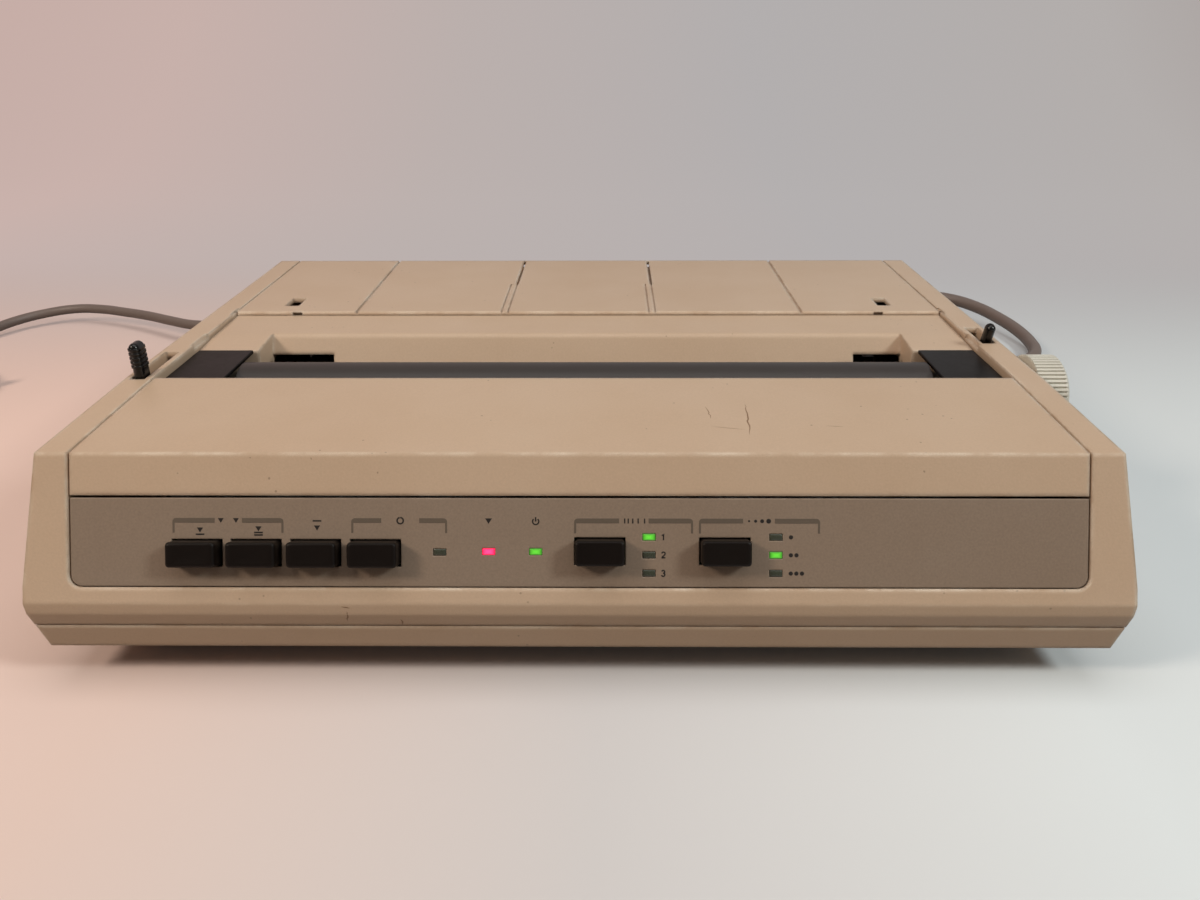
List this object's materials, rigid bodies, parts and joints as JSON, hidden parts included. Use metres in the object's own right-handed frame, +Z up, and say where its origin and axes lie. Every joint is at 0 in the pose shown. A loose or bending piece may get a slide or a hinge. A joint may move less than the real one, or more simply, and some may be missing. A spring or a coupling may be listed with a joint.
{
  "type": "dot matrix printer",
  "caption": "Desktop dot matrix printer with hinged front cover, rear sheet guide, platen with knob, paper bail, print head carriage and sloping button panel.",
  "frame": {"origin": "on the table, under the centre of the printer's own bounding box, knob included and leads left out", "axes": "+X along the platen towards the knob, -Y the front with the button panel, +Z up from the table"},
  "size_m": [0.7716, 0.4531, 0.0934],
  "materials": {
    "case_plastic": "satin",
    "cover_plastic": "satin",
    "panel_plastic": "satin",
    "button_plastic": "satin",
    "black_plastic": "satin",
    "gloss_black": "gloss",
    "ivory_plastic": "satin",
    "gear_plastic": "satin",
    "lamp_red": "gloss",
    "lamp_green": "gloss",
    "lamp_dark": "gloss",
    "rubber": "matte",
    "plate_steel": "zinc plated",
    "bright_steel": "ground",
    "dark_metal": "satin",
    "cast_metal": "cast",
    "brass": "turned",
    "transformer_iron": "varnished",
    "circuit_board": "satin",
    "socket_shell": "satin",
    "cord_rubber": "satin",
    "plug_plastic": "satin",
    "connector_plastic": "satin"
  },
  "bodies": {
    "printer": {"lower_case": "case_plastic", "upper_case": "case_plastic", "rear_cover": "case_plastic", "control_panel": "panel_plastic", "rubber_feet": "rubber", "case_screws": "bright_steel", "lamp_red": "lamp_red", "lamps_green_lit": "lamp_green", "lamps_unlit": "lamp_dark", "panel_board": "circuit_board", "mechanism_base": "plate_steel", "left_side_frame": "plate_steel", "right_side_frame": "plate_steel", "end_covers": "gloss_black", "feed_motor": "dark_metal", "paper_guide": "dark_metal", "guide_rod": "bright_steel", "timing_belt": "rubber", "carriage_motor": "dark_metal", "power_transformer": "transformer_iron", "main_board": "circuit_board", "board_components": "black_plastic", "interface_socket": "socket_shell", "cord_grip": "plug_plastic", "power_cord": "cord_rubber", "power_cord_coil": "cord_rubber", "mains_plug": "plug_plastic", "data_plug": "connector_plastic", "data_cable": "cord_rubber", "data_cable_coil": "cord_rubber", "data_connector": "connector_plastic", "cord_ties": "black_plastic"},
    "access_cover": {"access_cover": "cover_plastic"},
    "sheet_guide": {"sheet_guide": "cover_plastic"},
    "platen": {"platen_roller": "rubber", "platen_shaft": "bright_steel", "platen_gear": "gear_plastic", "platen_knob": "ivory_plastic"},
    "idler_gear": {"idler_gear": "gear_plastic"},
    "feed_pinion": {"feed_pinion": "brass"},
    "tractor": {"tractor_shaft": "bright_steel", "tractor_wheels": "black_plastic"},
    "release_lever": {"release_lever": "gloss_black"},
    "pressure_frame": {"pressure_frame": "plate_steel"},
    "pressure_rollers": {"pressure_rollers": "rubber"},
    "carriage": {"carriage": "black_plastic", "print_head": "cast_metal", "ribbon_cartridge": "black_plastic"},
    "drive_pulley": {"drive_pulley": "brass"},
    "idler_pulley": {"idler_pulley": "gear_plastic"},
    "bail": {"bail_lever": "gloss_black", "bail_arms": "bright_steel"},
    "bail_rollers": {"bail_rollers": "rubber"},
    "line_feed_button": {"line_feed_button": "button_plastic"},
    "form_feed_button": {"form_feed_button": "button_plastic"},
    "top_of_form_button": {"top_of_form_button": "button_plastic"},
    "select_button": {"select_button": "button_plastic"},
    "pitch_button": {"pitch_button": "button_plastic"},
    "mode_button": {"mode_button": "button_plastic"},
    "power_switch": {"power_switch": "black_plastic"}
  },
  "joints": [
    {"name": "access_cover_hinge", "type": "hinge", "parent": "printer", "child": "access_cover", "pos_m": [-0.00645, -0.05653, 0.0771], "axis": [-1, 0, 0], "range_deg": [0, 75]},
    {"name": "sheet_guide_hinge", "type": "hinge", "parent": "printer", "child": "sheet_guide", "pos_m": [-0.00645, 0.03617, 0.0781], "axis": [1, 0, 0], "range_deg": [0, 65]},
    {"name": "platen_spin", "type": "hinge", "parent": "printer", "child": "platen", "pos_m": [-0.00645, -0.02903, 0.0626], "axis": [1, 0, 0], "continuous": true},
    {"name": "idler_gear_spin", "type": "hinge", "parent": "printer", "child": "idler_gear", "pos_m": [-0.00645, -0.00786, 0.04794], "axis": [1, 0, 0], "continuous": true},
    {"name": "feed_pinion_spin", "type": "hinge", "parent": "printer", "child": "feed_pinion", "pos_m": [-0.00645, 0.00805, 0.03692], "axis": [1, 0, 0], "continuous": true},
    {"name": "tractor_spin", "type": "hinge", "parent": "printer", "child": "tractor", "pos_m": [-0.00645, 0.0175, 0.05241], "axis": [1, 0, 0], "continuous": true},
    {"name": "release_lever_hinge", "type": "hinge", "parent": "printer", "child": "release_lever", "pos_m": [-0.00645, -0.01403, 0.038], "axis": [-1, 0, 0], "range_deg": [0, 20]},
    {"name": "pressure_frame_hinge", "type": "hinge", "parent": "printer", "child": "pressure_frame", "pos_m": [-0.00645, -0.01403, 0.038], "axis": [1, 0, 0], "range_deg": [0, 5.6]},
    {"name": "pressure_roller_spin", "type": "hinge", "parent": "pressure_frame", "child": "pressure_rollers", "pos_m": [-0.00645, -0.03549, 0.04484], "axis": [1, 0, 0], "continuous": true},
    {"name": "carriage_slide", "type": "slide", "parent": "printer", "child": "carriage", "axis": [1, 0, 0], "range_m": [-0.0975, 0.0975]},
    {"name": "drive_pulley_spin", "type": "hinge", "parent": "printer", "child": "drive_pulley", "pos_m": [0.12195, -0.05803, 0.0315], "axis": [0, 0, 1], "continuous": true},
    {"name": "idler_pulley_spin", "type": "hinge", "parent": "printer", "child": "idler_pulley", "pos_m": [-0.13485, -0.05803, 0.0315], "axis": [0, 0, 1], "continuous": true},
    {"name": "bail_hinge", "type": "hinge", "parent": "printer", "child": "bail", "pos_m": [-0.00645, -0.05403, 0.044], "axis": [-1, 0, 0], "range_deg": [0, 31]},
    {"name": "bail_roller_spin", "type": "hinge", "parent": "bail", "child": "bail_rollers", "pos_m": [-0.00645, -0.06001, 0.07033], "axis": [1, 0, 0], "continuous": true},
    {"name": "line_feed_button_press", "type": "slide", "parent": "printer", "child": "line_feed_button", "axis": [0, 0.9191, -0.3939], "range_m": [0, 0.0015], "stiffness_N_per_m": 400, "springref_m": -0.0005},
    {"name": "form_feed_button_press", "type": "slide", "parent": "printer", "child": "form_feed_button", "axis": [0, 0.9191, -0.3939], "range_m": [0, 0.0015], "stiffness_N_per_m": 400, "springref_m": -0.0005},
    {"name": "top_of_form_button_press", "type": "slide", "parent": "printer", "child": "top_of_form_button", "axis": [0, 0.9191, -0.3939], "range_m": [0, 0.0015], "stiffness_N_per_m": 400, "springref_m": -0.0005},
    {"name": "select_button_press", "type": "slide", "parent": "printer", "child": "select_button", "axis": [0, 0.9191, -0.3939], "range_m": [0, 0.0015], "stiffness_N_per_m": 400, "springref_m": -0.0005},
    {"name": "pitch_button_press", "type": "slide", "parent": "printer", "child": "pitch_button", "axis": [0, 0.9191, -0.3939], "range_m": [0, 0.0015], "stiffness_N_per_m": 400, "springref_m": -0.0005},
    {"name": "mode_button_press", "type": "slide", "parent": "printer", "child": "mode_button", "axis": [0, 0.9191, -0.3939], "range_m": [0, 0.0015], "stiffness_N_per_m": 400, "springref_m": -0.0005},
    {"name": "power_switch_rock", "type": "hinge", "parent": "printer", "child": "power_switch", "pos_m": [-0.15645, 0.13, 0.0375], "axis": [1, 0, 0], "range_deg": [-12, 0]}
  ],
  "couplings": [
    {"joint": "idler_gear_spin", "follows": "platen_spin", "ratio": -0.77778},
    {"joint": "feed_pinion_spin", "follows": "platen_spin", "ratio": 2.3333},
    {"joint": "tractor_spin", "follows": "platen_spin", "ratio": 1},
    {"joint": "pressure_roller_spin", "follows": "platen_spin", "ratio": -3.1333},
    {"joint": "pressure_frame_hinge", "follows": "release_lever_hinge", "ratio": 0.28},
    {"joint": "drive_pulley_spin", "follows": "carriage_slide", "rad_per_m": 125},
    {"joint": "idler_pulley_spin", "follows": "carriage_slide", "rad_per_m": 125}
  ]
}
